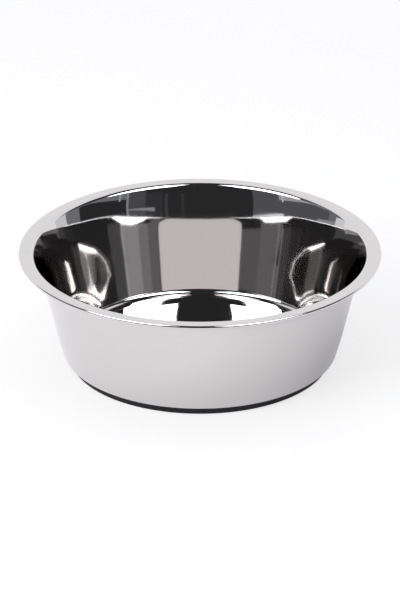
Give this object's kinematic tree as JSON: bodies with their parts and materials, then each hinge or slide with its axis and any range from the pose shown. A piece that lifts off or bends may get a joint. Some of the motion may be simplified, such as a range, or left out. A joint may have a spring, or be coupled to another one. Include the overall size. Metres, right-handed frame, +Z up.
{
  "type": "pet bowl",
  "caption": "Round mirror-polished stainless steel dog bowl with a level rolled-edge flange, gently flared wall, pressed floor and a black rubber ring bonded under its base.",
  "frame": {"origin": "middle of the rubber ring's lower face, on the table that the bowl stands on", "axes": "+Z up along the bowl's axis; the bowl is round, so +X and +Y are any two level directions"},
  "size_m": [0.25, 0.25, 0.082],
  "materials": {
    "polished_steel": "mirror-polished stainless steel",
    "black_rubber": "moulded matt black rubber"
  },
  "bodies": {
    "root": {"bowl_shell": "polished_steel", "rubber_ring": "black_rubber"}
  },
  "joints": []
}
